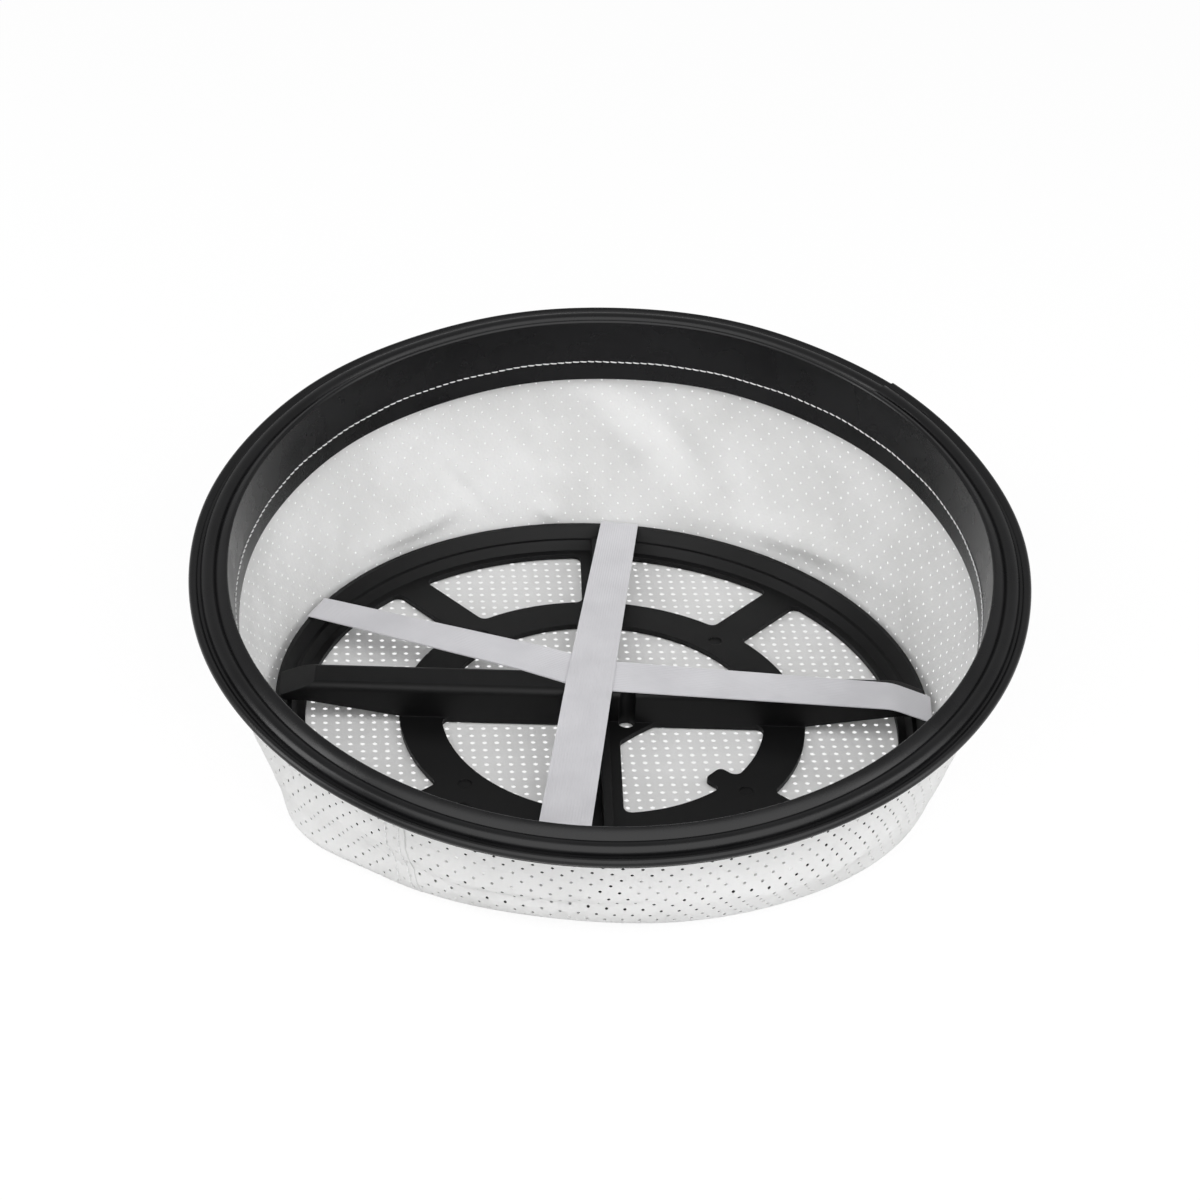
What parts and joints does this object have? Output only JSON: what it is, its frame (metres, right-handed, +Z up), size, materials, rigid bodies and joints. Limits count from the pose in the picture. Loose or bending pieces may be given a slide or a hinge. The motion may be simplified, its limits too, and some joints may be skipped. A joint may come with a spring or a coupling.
{
  "type": "round vacuum filter",
  "caption": "Round cloth bag filter for a drum vacuum cleaner: black moulded rim seal, white perforated cloth bag, black plastic support frame and crossed retaining tapes.",
  "frame": {"origin": "middle of the bag's base, on the surface that it stands on", "axes": "+Z up out of the bag, -Y towards the low side of the rim"},
  "size_m": [0.3048, 0.3018, 0.0962],
  "materials": {
    "rim_rubber": "satin moulded rubber",
    "filter_cloth": "perforated non-woven cloth",
    "frame_plastic": "fine matt moulding",
    "tape_satin": "satin ribbon"
  },
  "bodies": {
    "root": {"seal_ring": "rim_rubber", "filter_wall": "filter_cloth", "filter_base": "filter_cloth", "support_frame": "frame_plastic", "long_tape": "tape_satin", "cross_tape": "tape_satin"}
  },
  "joints": []
}
